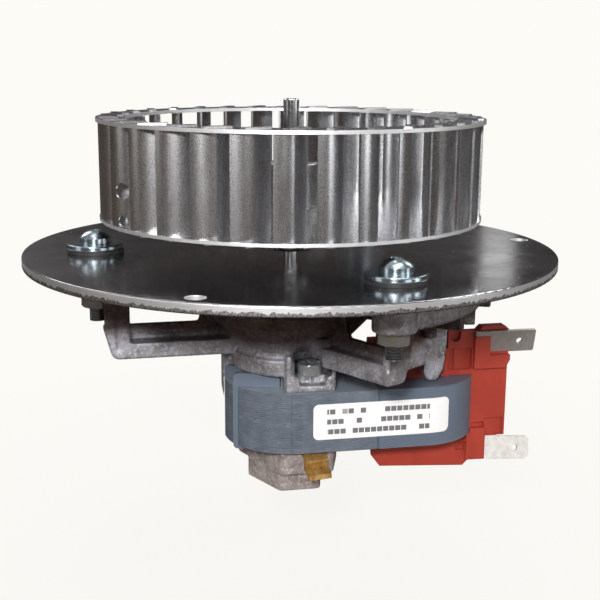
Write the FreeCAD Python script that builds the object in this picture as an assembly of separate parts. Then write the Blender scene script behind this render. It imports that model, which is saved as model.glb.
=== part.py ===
import FreeCAD, Part
import os
from math import atan2, cos, degrees, hypot, pi, radians, sin

# Combustion fan of a gas boiler: a shaded-pole motor hangs under a round mounting plate
# and drives a forward-curved impeller above it.
# Millimetres. The origin is where the shaft axis crosses the top face of the plate.
# +Z points to the impeller inlet and -Y is the front, the side that carries the label.
# A bearing angle is measured from the front towards +X, seen from above.

os.makedirs("parts", exist_ok=True)
V = FreeCAD.Vector
GAP = 0.05                    # clearance between pieces that only touch

# Mounting plate and its three rubber-mounted screws
PLATE_R = 67.9
PLATE_T = 2.5
PLATE_EDGE_R = 0.35
CENTRE_HOLE_R = 7.0
MOUNT_PCD_R = 63.5
MOUNT_HOLE_R = 2.4
MOUNT_ANGLES = (-18.0, 102.0, 222.0)
GROMMET_HOLE_R = 4.6
SCREW_PLACES = ((49.8, -80.9), (49.3, 28.3), (49.5, 155.0))   # radius, bearing angle
GROMMET_FLANGE_R = 7.0
GROMMET_FLANGE_T = 1.0
GROMMET_FOOT_T = 1.6
SLEEVE_R = 3.0
SLEEVE_BORE_R = 2.15
GROMMET_FOOT_R = 6.4
WASHER_R = 7.25
WASHER_T = 1.3
PLATE_SCREW_R = 2.0
PLATE_SCREW_HEAD_R = 4.05
PLATE_SCREW_SIDE_H = 1.4
PLATE_SCREW_DOME_H = 1.9
PLATE_SCREW_END_Z = -17.7
NUT_FLATS = 7.0
NUT_T = 2.9
NUT_BEVEL = 0.45
NUT_TURN = 20.0
RECESS_W = 0.84               # width of the driver recess arms

# Impeller
IMPELLER_R = 48.5
BACK_PLATE_Z = 8.4
BACK_PLATE_T = 0.8
TOP_RING_Z = 33.5
TOP_RING_T = 0.9
TOP_RING_R = 48.85
TOP_RING_INNER_R = 41.6
BLADE_COUNT = 32
BLADE_T = 0.5
BLADE_TIP_R = 48.1
BLADE_ROOT_R = 40.6
BLADE_SWEEP = 9.3             # the root trails the tip by this bearing angle
FIRST_TIP_ANGLE = 6.73
BLADE_ARC = 90.0              # the blade section turns through this angle
TAB_LENGTH = 6.6
TAB_WIDTH = 1.9
TAB_T = 0.4
BALANCED_BLADE = 26           # this blade carries the balancing hole and notch
BALANCE_TURN = 16.5           # their place on the arc, from its middle towards the tip
BALANCE_HOLE_R = 1.95
BALANCE_HOLE_Z = 17.5
BALANCE_NOTCH_R = 1.35
BALANCE_NOTCH_Z = 10.5
HUB_R = 7.0
HUB_TOP_Z = 22.0
HUB_FLANGE_R = 12.0
HUB_FLANGE_T = 2.2
HUB_SPIGOT_R = 5.0
HUB_RIVET_R = 6.2
GRUB_SCREW_R = 2.0
GRUB_SCREW_Z = 17.0

# Shaft and rotor
SHAFT_R = 2.0
SHAFT_TOP_Z = 38.0
SHAFT_END_Z = -60.8
RUN_GAP = 0.03                # radial running clearance in the bearings
CORE_TOP_Z = -34.6
CORE_END_Z = -50.5
ROTOR_R = 9.9
CAGE_RING_R = 9.3
CAGE_RING_BORE_R = 6.4
CAGE_RING_T = 2.4
CAGE_BARS = 17
CAGE_BAR_R = 1.0
CAGE_BAR_PCD_R = 8.35
SPACER_R = 3.2

# Bearings, the same set in each bracket
BEARING_Z = (-22.5, -56.9)
BEARING_BALL_R = 4.5
BEARING_HALF = 3.5
POCKET_R = 6.5
RETAINER_BORE_R = 3.9
RETAINER_T = 0.5
RETAINER_DROP = 2.5           # from the ball's centre to the retainer, towards the rotor
SEAT_BORE_R = 3.6
SEAT_RISE = 2.9               # from the ball's centre to the seat, away from the rotor
SHAFT_RELIEF = 0.6            # depth beyond the bush, for the shaft's end

# Stator, in the motor's own axes: u runs from the rotor to the coil, v runs to the back
MOTOR_ANGLE = 11.3            # u is turned this far from +X
STATOR_R = 17.3
STATOR_BORE_R = 10.2
COIL_END_U = 33.0             # centre of the round end beside the coil
LIMB_V = 9.0                  # inner edge of the front and back limbs
WINDOW_U = 19.5
LIMB_INNER_U = 33.0
LIMB_OUTER_U = 47.6
JOINT_U = 20.0
GROOVE_U = -2.7
GROOVE_DEPTH = 0.4
CLAMP_U = 2.75
CLAMP_V = -12.0
CLAMP_R = 1.5
CLAMP_HEAD_R = 3.15
CLAMP_HEAD_H = 3.0
CLAMP_SEAT_Z = -30.8
CLAMP_END_Z = -56.6
RING_TOP_Z = -30.95
RING_END_Z = -51.3
RING_STRIP = 1.7
RING_BEND_R = 1.2
RING_TOP_GAP = 0.1            # the loop clears the stack by this much above it
RING_LOW_GAP = 0.3            # and by this much below it
SHADING_PATHS = (((-15.4, -7.3), (-5.4, -9.9)), ((-16.2, 0.6), (-11.3, -4.5)))
LABEL_T = 0.15
LABEL_U = (2.7, 39.0)
LABEL_Z = (-47.0, -37.6)
LABEL_CORNER_R = 1.4

# Upper bracket: arms. Each row is the bearing angle of the arm, the side of its low ledge
# (+1 towards larger bearing angles), the distance of the ledge's face from the arm's line,
# the width of the ledge, the whole width, the height of the ledge and the post's two ends.
ARMS = (
    (-77.5, 1, 1.65, 4.4, 6.15, -23.4, 41.9, 48.6),
    (42.0, -1, 5.4, 3.2, 4.8, -22.5, 38.6, 43.7),
    (162.5, 1, 1.65, 4.4, 6.15, -23.4, 41.9, 48.6),
)
ARM_ROOT = 9.0
ARM_BOTTOM_Z = -27.5
ARM_RIB_Z = -19.4
ARM_FOOT_DRAFT = 2.2          # the post's outer face leans in by this much at its foot
ARM_FOOT_R = 2.2
POST_GROOVE_R = 0.9
GUSSET = ((23.9, -19.4), (22.3, -13.0))
LUG_TOP_Z = -(PLATE_T + GROMMET_FOOT_T)
LUG_BOTTOM_Z = -11.2
LUG_R = 5.2
LUG_BRIDGE_W = 7.0
NUT_POCKET_R = 4.4
NUT_POCKET_END = 0.8

# Upper bracket: dish and feet over the stator
HUB_BASE_R = 15.3
DISH_R = (14.5, 21.5)
DISH_Z = (-24.5, -17.0)
DISH_WALL = 2.0
DISH_RIM_Z = -14.0
HOUSING_R = 8.5
HOUSING_TOP_Z = -12.5
ROTOR_ROOM_R = 11.0
ROTOR_ROOM_Z = -28.4
DRIVER_R = 5.3
DRIVER_UV = (3.2, -13.0)
FOOT_U = (-4.1, 8.9)
FOOT_FRONT_V = -16.0
FOOT_BACK_V = -7.5
FOOT_SHELF_Z = -30.5
FOOT_RIB_W = 1.5
FOOT_RIB_Z = (-24.9, -24.9)
NOTCH_U = (-0.5, 6.5)
NOTCH_DEPTH = 2.2
NOTCH_FLOOR_Z = -32.95

# Upper bracket: coil side
WALL_R = (46.6, 49.6)
WALL_Z = (-12.0, -5.0)
WALL_BULGE_R = 51.9
WALL_BULGE_Z = -13.2
WALL_BULGE_SPAN = (77.0, 103.0)
RIB_BEARINGS = (62.0, 86.0, 112.0)
RIB_HALF_W = 1.4
RIB_Z = (-16.5, -10.0)
SKEW_WALL = ((21.5, -25.5), (33.3, -13.2))
SKEW_WALL_Z = (-27.6, -10.5)
COLUMN_UZ = ((32.8, -11.0), (39.1, -11.0), (39.1, -19.0), (38.8, -26.0), (38.1, -31.2), (37.0, -33.4),
             (36.0, -34.1), (34.6, -34.1), (33.5, -33.4), (32.9, -32.0))
COLUMN_V = (-13.6, -9.3)
HANGER_UZ = ((43.4, -11.0), (51.0, -11.0), (51.0, -14.6), (48.6, -17.0), (48.6, -21.0), (45.8, -21.0),
             (43.4, -17.0))
HANGER_V = (-8.2, -3.0)
LOCATING_LEG_UZ = ((-17.5, -20.5), (-13.9, -20.5), (-13.9, -34.6), (-16.95, -34.6), (-16.95, -42.0),
                   (-17.5, -38.0))
LOCATING_LEG_V = (4.0, 7.0)
BOSS_UV = (30.6, -23.5)
BOSS_R = 1.9
BOSS_END_Z = -19.6

# Lower bracket, in motor axes
LOW_BODY_UV = ((-5.2, -15.2), (8.6, -15.2), (12.0, -4.6), (5.2, 15.2), (-9.0, 15.2), (-13.2, 5.0))
LOW_NOSE_UV = ((-5.2, -14.0), (5.5, -14.0), (8.3, 0.0), (5.0, 14.0), (-5.6, 14.0), (-11.5, -0.8))
LOW_BRACKET_STEP_Z = -56.9
LOW_BRACKET_END_Z = -61.7
LOW_EDGE_R = 1.6
LOW_ROOM_R = 10.6
LOW_ROOM_Z = -53.8

# Earth tab: a flat foot and an S-shaped blade given as (v, z) points of its middle line
EARTH_FOOT_U = (-1.0, 6.6)
EARTH_FOOT_V = (-15.4, -9.6)
EARTH_PATH = ((-13.6, -50.95), (-15.5, -51.0), (-17.3, -52.7), (-16.8, -54.4), (-19.5, -55.7), (-19.8, -56.8))
EARTH_BLADE_U = (-0.3, 6.0)
EARTH_TURN = 12.0             # the blade is twisted to the right by this much
EARTH_T = 0.8

# Coil, its red bobbin and the two 6.3 mm spades, in motor axes
FLANGE_V = 8.6
FLANGE_T = 1.5
TUBE_WALL = 1.0
LIMB_GAP = 0.1
COIL_T = 5.8
COIL_HALF_V = 6.9
TAPE_T = 0.4
TAPE_GAP = 0.06
FRONT_FLANGE_UZ = ((23.4, -27.0), (41.0, -27.0), (41.0, -22.2), (49.2, -22.2), (57.9, -27.0), (57.9, -52.0),
                   (52.1, -52.0), (52.1, -58.3), (47.9, -58.5), (46.3, -60.1), (22.9, -58.7), (20.8, -55.9),
                   (20.6, -53.8))
BACK_FLANGE_UZ = ((23.4, -27.4), (57.9, -27.4), (57.9, -52.0), (52.1, -52.0), (52.1, -58.3), (46.3, -60.1),
                  (22.9, -58.7), (20.6, -53.8))
TOP_BLOCK_UZ = ((48.2, -32.8), (57.0, -32.8), (58.2, -30.6), (58.2, -22.6), (56.4, -21.1), (50.1, -21.1),
                (48.2, -23.0))
TOP_BLOCK_V = (-9.7, -6.6)
LOW_BLOCK = (46.8, 52.1, -9.6, -1.2, -58.3, -49.4)
SIDE_WALL = (56.3, 57.9, -8.6, 8.6, -52.0, -30.0)
# Shallow hollows of the front flange: u range, z range and depth
HOLLOWS = (
    (41.2, 47.8, -33.0, -27.1, 0.8),
    (46.2, 47.8, -33.0, -27.1, 1.3),
    (52.6, 60.0, -29.2, -22.0, 0.3),
    (48.0, 60.0, -24.0, -22.0, 0.3),
    (48.4, 51.9, -49.4, -48.1, 0.7),
    (52.0, 57.3, -51.6, -47.1, 0.5),
)
HOLLOW_RIB = (42.8, 43.3, -8.3, -7.1, -33.2, -27.1)
SHADE_NOTCH_UZ = ((44.1, -54.7), (46.6, -53.0), (46.6, -55.8), (44.1, -55.6))
SHADE_NOTCH_DEPTH = 0.9
EYE_UZ = (42.9, -23.7)
EYE_R = 1.55
EYE_DEPTH = 1.1
SPADE_T = 0.8
SPADE_HOLE_R = 0.85
UPPER_SPADE_UZ = ((48.4, 3.15), (64.9, 3.15), (65.2, 2.85), (65.2, -2.85), (64.9, -3.15), (58.2, -3.15),
                  (58.0, -2.95), (52.5, -2.95), (52.5, 1.75), (48.4, 1.75))
UPPER_SPADE_MIDDLE = (-8.75, -25.5)
UPPER_SPADE_TILT = 14.0
UPPER_SPADE_HOLE = (60.8, 0.0)
LOWER_SPADE_UZ = ((50.2, -3.3), (56.0, -3.3), (56.3, -2.8), (56.6, -3.15), (64.2, -3.15), (65.2, -2.2),
                  (65.2, 2.2), (64.2, 3.15), (56.6, 3.15), (56.3, 2.8), (56.0, 3.3), (50.2, 3.3))
LOWER_SPADE_MIDDLE = (-8.3, -55.4)
LOWER_SPADE_TILT = -14.0
LOWER_SPADE_SLOPE = 4.0
LOWER_SPADE_HOLE = (61.2, -0.1)
BLADE_LEFT_U = 52.0


def polar(radius, angle):
    """Point at a bearing angle from the front."""
    return radius * sin(radians(angle)), -radius * cos(radians(angle))


def cylinder(radius, low, high, x=0.0, y=0.0):
    return Part.makeCylinder(radius, high - low, V(x, y, low))


def tube(outer, inner, low, high, x=0.0, y=0.0):
    return cylinder(outer, low, high, x, y).cut(cylinder(inner, low - 1, high + 1, x, y))


def box(x0, x1, y0, y1, z0, z1):
    return Part.makeBox(x1 - x0, y1 - y0, z1 - z0, V(x0, y0, z0))


def prism(points, low, high):
    """Upright prism on a closed plan outline."""
    corners = [V(x, y, low) for x, y in points]
    face = Part.Face(Part.makePolygon(corners + corners[:1]))
    return face.extrude(V(0, 0, high - low))


def slab(points, front, back):
    """Prism on a closed (x, z) outline, running from front to back along y."""
    corners = [V(x, front, z) for x, z in points]
    face = Part.Face(Part.makePolygon(corners + corners[:1]))
    return face.extrude(V(0, back - front, 0))


def bar(start, end, half_width, low, high):
    """Straight upright wall between two plan points."""
    length = hypot(end[0] - start[0], end[1] - start[1])
    angle = degrees(atan2(end[1] - start[1], end[0] - start[0]))
    wall = box(0, length, -half_width, half_width, low, high)
    wall.rotate(V(), V(0, 0, 1), angle)
    wall.translate(V(start[0], start[1], 0))
    return wall


def fused(shapes):
    """One clean solid from overlapping pieces."""
    whole = shapes[0].fuse(shapes[1:])
    return whole.removeSplitter()


def turned(shape, angle=MOTOR_ANGLE):
    """Copy turned about the shaft axis."""
    copy = shape.copy()
    copy.rotate(V(), V(0, 0, 1), angle)
    return copy


def rounded(shape, radius, chosen):
    """Fillet the edges whose middle point passes the test."""
    edges = []
    for edge in shape.Edges:
        middle = edge.valueAt((edge.FirstParameter + edge.LastParameter) / 2)
        if chosen(middle):
            edges.append(edge)
    return shape.makeFillet(radius, edges)


def save(name, *solids):
    shape = solids[0] if len(solids) == 1 else Part.makeCompound(list(solids))
    shape.exportStep("parts/" + name + ".step")


# Plate group

def mounting_plate():
    plate = cylinder(PLATE_R, -PLATE_T, 0).cut(cylinder(CENTRE_HOLE_R, -PLATE_T - 1, 1))
    for angle in MOUNT_ANGLES:
        x, y = polar(MOUNT_PCD_R, angle)
        plate = plate.cut(cylinder(MOUNT_HOLE_R, -PLATE_T - 1, 1, x, y))
    for radius, angle in SCREW_PLACES:
        x, y = polar(radius, angle)
        plate = plate.cut(cylinder(GROMMET_HOLE_R, -PLATE_T - 1, 1, x, y))
    rims = [edge for edge in plate.Edges if edge.Length > 2 * pi * PLATE_R - 1 and edge.Closed]
    return plate.makeFillet(PLATE_EDGE_R, rims)


def grommet(x, y):
    neck = cylinder(GROMMET_HOLE_R - GAP, -PLATE_T, 0, x, y)
    flange = cylinder(GROMMET_FLANGE_R, 0, GROMMET_FLANGE_T, x, y)
    foot = cylinder(GROMMET_FOOT_R, -PLATE_T - GROMMET_FOOT_T, -PLATE_T, x, y)
    whole = fused([neck, flange, foot])
    return whole.cut(cylinder(SLEEVE_R + GAP, -10, 10, x, y))


def sleeve(x, y):
    return tube(SLEEVE_R, SLEEVE_BORE_R, LUG_TOP_Z, GROMMET_FLANGE_T, x, y)


def washer(x, y):
    top = GROMMET_FLANGE_T + WASHER_T
    ring = tube(WASHER_R, PLATE_SCREW_R + 0.15, GROMMET_FLANGE_T, top, x, y)
    return rounded(ring, PLATE_EDGE_R, lambda p: abs(hypot(p.x - x, p.y - y) - WASHER_R) < 0.01)


def plate_screw(x, y):
    """Screw with a straight-sided head under a low dome."""
    seat = GROMMET_FLANGE_T + WASHER_T
    height = PLATE_SCREW_SIDE_H + PLATE_SCREW_DOME_H
    dome_r = (PLATE_SCREW_HEAD_R ** 2 + PLATE_SCREW_DOME_H ** 2) / (2 * PLATE_SCREW_DOME_H)
    dome = Part.makeSphere(dome_r, V(x, y, seat + height - dome_r))
    head = cylinder(PLATE_SCREW_HEAD_R, seat, seat + height, x, y).common(dome)
    shank = cylinder(PLATE_SCREW_R, PLATE_SCREW_END_Z, seat, x, y)
    recess = cross_recess(x, y, seat + height, 3.2, 1.3)
    return fused([head, shank]).cut(recess)


def cross_recess(x, y, top, length, depth):
    """Cross-shaped driver recess that narrows downwards."""
    half = length / 2
    foot = half * 0.35
    outline = [(-half, 1), (half, 1), (half, 0), (foot, -depth), (-foot, -depth), (-half, 0)]
    blade = slab(outline, -RECESS_W / 2, RECESS_W / 2)
    cross = blade.fuse(turned(blade, 90))
    cross.translate(V(x, y, top))
    return cross


def nut(x, y, angle):
    corner_r = NUT_FLATS / 2 / cos(pi / 6)
    corners = []
    for side in range(6):
        turn = radians(60 * side + angle)
        corners.append((x + corner_r * cos(turn), y + corner_r * sin(turn)))
    low = LUG_BOTTOM_Z - NUT_T
    hexagon = prism(corners, low, LUG_BOTTOM_Z)
    bevel = Part.makeCone(corner_r - NUT_BEVEL, corner_r + NUT_T, NUT_T + NUT_BEVEL, V(x, y, low))
    return hexagon.common(bevel).cut(cylinder(PLATE_SCREW_R + GAP, low - 1, 0, x, y))


# Impeller

def blade_arc(tip_angle):
    """Centre, radius, outward direction and end directions of one blade's arc, and its chord."""
    tip = V(*polar(BLADE_TIP_R, tip_angle), 0)
    root = V(*polar(BLADE_ROOT_R, tip_angle + BLADE_SWEEP), 0)
    chord = tip - root
    half_arc = radians(BLADE_ARC / 2)
    radius = chord.Length / 2 / sin(half_arc)
    outward = V(chord.y, -chord.x, 0)
    outward.normalize()
    if outward.dot(tip + root) < 0:
        outward = outward * -1
    centre = (tip + root) * 0.5 - outward * (radius * cos(half_arc))
    rays = []
    for point in (tip, root):
        ray = point - centre
        ray.normalize()
        rays.append(ray)
    return centre, radius, outward, rays, chord


def blade_section(tip_angle, thickness):
    """Plan face of one blade: an arc strip, nearly tangential at the tip and radial at the root."""
    centre, radius, outward, ends, chord = blade_arc(tip_angle)
    outer_r = radius + thickness / 2
    inner_r = radius - thickness / 2
    outer = Part.Arc(centre + ends[0] * outer_r, centre + outward * outer_r, centre + ends[1] * outer_r)
    inner = Part.Arc(centre + ends[1] * inner_r, centre + outward * inner_r, centre + ends[0] * inner_r)
    tip_edge = Part.makeLine(centre + ends[0] * inner_r, centre + ends[0] * outer_r)
    root_edge = Part.makeLine(centre + ends[1] * outer_r, centre + ends[1] * inner_r)
    wire = Part.Wire([outer.toShape(), root_edge, inner.toShape(), tip_edge])
    return Part.Face(wire), centre + outward * radius, chord


def tab_neck(tip_angle, thickness, low, high):
    """The part of the blade strip that passes through a ring slot."""
    face, middle, chord = blade_section(tip_angle, thickness)
    face.translate(V(0, 0, low))
    strip = face.extrude(V(0, 0, high - low))
    reach = TAB_LENGTH / 2 + (thickness - BLADE_T)
    angle = degrees(atan2(chord.y, chord.x))
    zone = box(-reach, reach, -4, 4, low - 1, high + 1)
    zone.rotate(V(), V(0, 0, 1), angle)
    zone.translate(V(middle.x, middle.y, 0))
    return strip.common(zone)


def blade(index):
    tip_angle = FIRST_TIP_ANGLE + index * 360.0 / BLADE_COUNT
    low = BACK_PLATE_Z + BACK_PLATE_T
    high = TOP_RING_Z - TOP_RING_T
    face, middle, chord = blade_section(tip_angle, BLADE_T)
    face.translate(V(0, 0, low))
    sheet = face.extrude(V(0, 0, high - low))
    neck = tab_neck(tip_angle, BLADE_T, BACK_PLATE_Z, TOP_RING_Z)
    angle = degrees(atan2(chord.y, chord.x))
    half = TAB_LENGTH / 2
    pieces = [sheet, neck]
    for bottom in (TOP_RING_Z, BACK_PLATE_Z - TAB_T):
        tab = box(-half, half, -TAB_WIDTH / 2, TAB_WIDTH / 2, bottom, bottom + TAB_T)
        tab.rotate(V(), V(0, 0, 1), angle)
        tab.translate(V(middle.x * 0.987, middle.y * 0.987, 0))
        pieces.append(tab)
    whole = fused(pieces)
    if index == BALANCED_BLADE:
        whole = whole.cut(balance_cuts(tip_angle))
    return whole


def balance_cuts(tip_angle):
    """Hole and bottom notch that balance the wheel, square to the blade's face."""
    centre, radius, outward, ends, chord = blade_arc(tip_angle)
    share = BALANCE_TURN / (BLADE_ARC / 2)
    normal = outward * (1 - share) + ends[0] * share
    normal.normalize()
    cuts = []
    for size, height in ((BALANCE_HOLE_R, BALANCE_HOLE_Z), (BALANCE_NOTCH_R, BALANCE_NOTCH_Z)):
        start = centre + normal * (radius - 2) + V(0, 0, height)
        cuts.append(Part.makeCylinder(size, 4, start, normal))
    return cuts[0].fuse(cuts[1])


def blade_slots(low, high):
    slots = []
    for index in range(BLADE_COUNT):
        tip_angle = FIRST_TIP_ANGLE + index * 360.0 / BLADE_COUNT
        slots.append(tab_neck(tip_angle, BLADE_T + 2 * GAP, low, high))
    return Part.makeCompound(slots)


def top_ring():
    ring = tube(TOP_RING_R, TOP_RING_INNER_R, TOP_RING_Z - TOP_RING_T, TOP_RING_Z)
    return ring.cut(blade_slots(TOP_RING_Z - TOP_RING_T - 1, TOP_RING_Z + 1))


def back_plate():
    high = BACK_PLATE_Z + BACK_PLATE_T
    disc = tube(IMPELLER_R, HUB_SPIGOT_R + GAP, BACK_PLATE_Z, high)
    return disc.cut(blade_slots(BACK_PLATE_Z - 1, high + 1))


def impeller_hub():
    flange_z = BACK_PLATE_Z + BACK_PLATE_T
    barrel = cylinder(HUB_R, flange_z, HUB_TOP_Z)
    barrel = rounded(barrel, 0.5, lambda p: abs(p.z - HUB_TOP_Z) < 0.01)
    flange = cylinder(HUB_FLANGE_R, flange_z, flange_z + HUB_FLANGE_T)
    spigot = cylinder(HUB_SPIGOT_R, BACK_PLATE_Z - 0.6, flange_z)
    rivet = cylinder(HUB_RIVET_R, BACK_PLATE_Z - 0.6, BACK_PLATE_Z)
    hub = fused([barrel, flange, spigot, rivet])
    hub = hub.cut(cylinder(SHAFT_R + 0.01, 0, 40))
    side_hole = Part.makeCylinder(GRUB_SCREW_R + GAP, 20, V(0, 0, GRUB_SCREW_Z), V(1, 0, 0))
    return hub.cut(side_hole)


def grub_screw():
    length = HUB_R - SHAFT_R - 0.2
    screw = Part.makeCylinder(GRUB_SCREW_R, length, V(SHAFT_R + GAP, 0, GRUB_SCREW_Z), V(1, 0, 0))
    recess = Part.makeCylinder(1.1, 2.0, V(HUB_R - 2.0, 0, GRUB_SCREW_Z), V(1, 0, 0))
    return screw.cut(recess)


# Shaft and rotor

def rotor_shaft():
    shaft = cylinder(SHAFT_R, SHAFT_END_Z, SHAFT_TOP_Z)
    return shaft.makeChamfer(0.3, [e for e in shaft.Edges if e.Closed])


def cage_bars(radius):
    bars = []
    for index in range(CAGE_BARS):
        x, y = polar(CAGE_BAR_PCD_R, index * 360.0 / CAGE_BARS)
        bars.append(cylinder(radius, CORE_END_Z - 0.5, CORE_TOP_Z + 0.5, x, y))
    return bars


def rotor_core():
    core = tube(ROTOR_R, SHAFT_R + 0.01, CORE_END_Z, CORE_TOP_Z)
    return core.cut(Part.makeCompound(cage_bars(CAGE_BAR_R + 0.01)))


def rotor_cage():
    top = tube(CAGE_RING_R, CAGE_RING_BORE_R, CORE_TOP_Z, CORE_TOP_Z + CAGE_RING_T)
    bottom = tube(CAGE_RING_R, CAGE_RING_BORE_R, CORE_END_Z - CAGE_RING_T, CORE_END_Z)
    return fused([top, bottom] + cage_bars(CAGE_BAR_R))


def rotor_spacers():
    """Fibre spacers that set the rotor's end float between the two bearings."""
    upper = tube(SPACER_R, SHAFT_R + 0.02, CORE_TOP_Z, BEARING_Z[0] - BEARING_HALF - 0.3)
    lower = tube(SPACER_R, SHAFT_R + 0.02, BEARING_Z[1] + BEARING_HALF + 0.3, CORE_END_Z)
    return upper, lower


# Bearings. side is +1 for the upper set, whose rotor side faces down, and -1 for the lower set.

def span(centre, side, near, far):
    """Height range from two distances counted away from the rotor."""
    a = centre + side * near
    b = centre + side * far
    return min(a, b), max(a, b)


def bearing_bush(centre):
    ball = Part.makeSphere(BEARING_BALL_R, V(0, 0, centre))
    bush = ball.common(cylinder(BEARING_BALL_R + 1, centre - BEARING_HALF, centre + BEARING_HALF))
    return bush.cut(cylinder(SHAFT_R + RUN_GAP, centre - 9, centre + 9))


def bearing_retainer(centre, side):
    low, high = span(centre, side, -RETAINER_DROP - RETAINER_T, -RETAINER_DROP)
    ring = tube(POCKET_R - GAP, RETAINER_BORE_R, low, high)
    for index in range(6):
        x, y = polar(POCKET_R, index * 60.0)
        ring = ring.cut(cylinder(0.9, low - 1, high + 1, x, y))
    return ring


def bearing_felt(centre, side):
    low, high = span(centre, side, -RETAINER_DROP + 0.1, SEAT_RISE - 0.4)
    return tube(POCKET_R - GAP, BEARING_BALL_R + GAP, low, high)


def bearing_cavity(centre, side, depth):
    """Pocket open towards the rotor, with the ball's seat at its end and a relief behind it."""
    low, high = span(centre, side, -depth, SEAT_RISE)
    pocket = cylinder(POCKET_R, low, high)
    low, high = span(centre, side, 0, BEARING_HALF + SHAFT_RELIEF)
    return pocket.fuse(cylinder(SEAT_BORE_R, low, high))


# Stator

def stator_outline(grow=0.0):
    """Plan face of the stator: a round rotor end, flat sides and a round corner beside the coil."""
    radius = STATOR_R + grow
    end = COIL_END_U
    points = [V(0, -radius, 0), V(end, -radius, 0), V(end, radius, 0), V(0, radius, 0)]
    front = Part.makeLine(points[0], points[1])
    coil_end = Part.Arc(points[1], V(end + radius, 0, 0), points[2]).toShape()
    back = Part.makeLine(points[2], points[3])
    rotor_end = Part.Arc(points[3], V(-radius, 0, 0), points[0]).toShape()
    return Part.Face(Part.Wire([front, coil_end, back, rotor_end]))


def stator_block(grow=0.0, low=CORE_END_Z, high=CORE_TOP_Z):
    face = stator_outline(grow)
    face.translate(V(0, 0, low))
    return face.extrude(V(0, 0, high - low))


def shading_ring(path, clearance=0.0):
    """Closed strip loop around a pole tip, standing on a plan line from the rim to the bore."""
    (x0, y0), (x1, y1) = path
    length = hypot(x1 - x0, y1 - y0)
    half = RING_STRIP / 2 + clearance
    low = RING_END_Z - clearance
    high = RING_TOP_Z + clearance
    outer = box(-half, length + half, -half, half, low, high)
    outer = rounded(outer, RING_BEND_R, lambda p: abs(p.y) < 0.01 and min(p.z - low, high - p.z) < 0.01)
    inner_low = CORE_END_Z - RING_LOW_GAP + clearance
    inner_high = CORE_TOP_Z + RING_TOP_GAP - clearance
    loop = outer.cut(box(half, length - half, -9, 9, inner_low, inner_high))
    loop.rotate(V(), V(0, 0, 1), degrees(atan2(y1 - y0, x1 - x0)))
    loop.translate(V(x0, y0, 0))
    return loop


def shading_slots():
    slots = []
    for path in SHADING_PATHS:
        loop = shading_ring(path, GAP)
        slots.append(loop)
        slots.append(turned(loop, 180))
    return Part.makeCompound(slots)


def groove(u, side):
    """Upright V groove in the front (-1) or back (+1) face."""
    face_v = side * STATOR_R
    points = [(u - GROOVE_DEPTH, face_v + side * 0.01), (u + GROOVE_DEPTH, face_v + side * 0.01),
              (u, face_v - side * GROOVE_DEPTH)]
    return prism(points, CORE_END_Z - 1, CORE_TOP_Z + 1)


def stator_cuts():
    bore = cylinder(STATOR_BORE_R, -60, -20)
    window = box(WINDOW_U, LIMB_INNER_U, -LIMB_V, LIMB_V, -60, -20)
    beside = box(LIMB_OUTER_U, 60, -LIMB_V, LIMB_V, -60, -20)
    pole_gap = box(-15.4, 17.4, -0.8, 0.8, -60, -20)
    cuts = [bore, window, beside, pole_gap]
    for sign in (-1, 1):
        cuts.append(cylinder(CLAMP_R + 0.15, -60, -20, sign * CLAMP_U, sign * CLAMP_V))
        cuts.append(groove(JOINT_U, sign))
        cuts.append(groove(sign * -GROOVE_U, sign))
    return cuts


def yoke_zone():
    """The L-shaped yoke: front limb beyond the joint, and the limb that carries the coil."""
    return box(JOINT_U, 60, -20, LIMB_V, -60, -20)


def pole_stack():
    stack = stator_block().cut(yoke_zone()).cut(stator_cuts())
    return stack.cut(shading_slots())


def yoke_stack():
    return stator_block().common(yoke_zone()).cut(stator_cuts())


def shading_rings(turn):
    return [turned(shading_ring(path), MOTOR_ANGLE + turn) for path in SHADING_PATHS]


def rating_label():
    """Blank paper label wrapped along the front face."""
    film = stator_block(LABEL_T).cut(stator_block(0.0, CORE_END_Z - 1, CORE_TOP_Z + 1))
    zone = box(LABEL_U[0], LABEL_U[1], -20, 0, LABEL_Z[0], LABEL_Z[1])
    middle = (LABEL_U[0] + LABEL_U[1]) / 2
    reach = (LABEL_U[1] - LABEL_U[0]) / 2
    zone = rounded(zone, LABEL_CORNER_R, lambda p: abs(p.y + 10) < 0.01 and abs(p.x - middle) > reach - 0.01)
    return film.common(zone)


def clamp_screw(sign):
    u = sign * CLAMP_U
    v = sign * CLAMP_V
    top = CLAMP_SEAT_Z + CLAMP_HEAD_H
    head = cylinder(CLAMP_HEAD_R, CLAMP_SEAT_Z, top, u, v)
    head = rounded(head, 0.5, lambda p: abs(p.z - top) < 0.01)
    shank = cylinder(CLAMP_R, CLAMP_END_Z, CLAMP_SEAT_Z, u, v)
    return fused([head, shank]).cut(cross_recess(u, v, top, 4.0, 1.4))


# Cast upper bracket

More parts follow.
